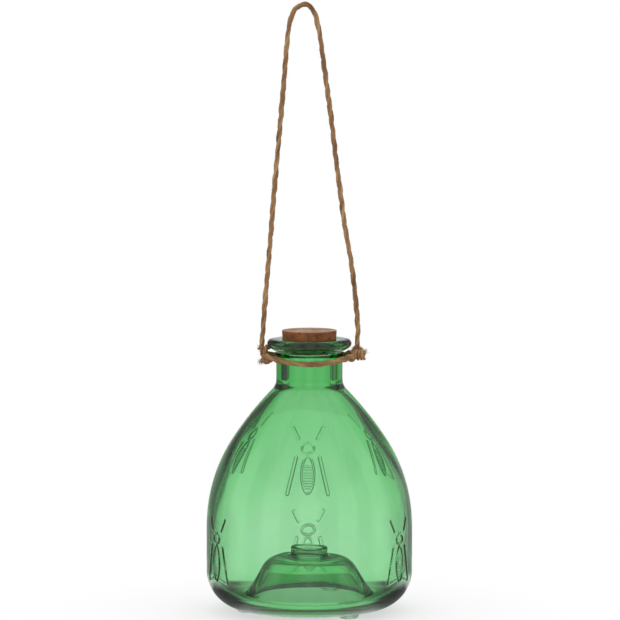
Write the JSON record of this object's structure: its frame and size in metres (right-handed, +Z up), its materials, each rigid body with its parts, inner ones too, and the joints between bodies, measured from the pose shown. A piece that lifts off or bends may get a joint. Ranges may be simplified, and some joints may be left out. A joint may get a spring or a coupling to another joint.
{
  "type": "glass fly trap",
  "caption": "Round-bellied green glass fly trap with embossed flies, an entry dome in its base, a flared neck with a cork stopper, clear feet and a jute hanging loop.",
  "frame": {"origin": "middle of the object at the height of the surface that the feet stand on", "axes": "+Z up along the bottle's axis, -Y towards the viewer of the picture, +X to the viewer's right, with the hanging loop in the X-Z plane"},
  "size_m": [0.13, 0.1306, 0.3852],
  "materials": {
    "green_glass": "clear green, fire-polished, slightly wavy",
    "clear_pad": "clear, soft",
    "cork": "natural cork, matt",
    "jute": "twisted natural jute"
  },
  "bodies": {
    "bottle": {"glass_bottle": "green_glass", "foot_right": "clear_pad", "foot_back": "clear_pad", "foot_left": "clear_pad"},
    "cork": {"cork_stopper": "cork"},
    "collar": {"neck_cord": "jute", "left_knot": "jute", "right_knot": "jute"},
    "loop": {"hanging_loop": "jute"}
  },
  "joints": [
    {"name": "cork_pull", "type": "slide", "parent": "bottle", "child": "cork", "axis": [0, 0, 1], "range_m": [0, 0.05]},
    {"name": "collar_turn", "type": "hinge", "parent": "bottle", "child": "collar", "pos_m": [0, 0, 0.158], "axis": [0, 0, 1], "continuous": true},
    {"name": "loop_swing", "type": "hinge", "parent": "collar", "child": "loop", "pos_m": [0, 0, 0.1642], "axis": [1, 0, 0], "range_deg": [-100, 100]}
  ]
}
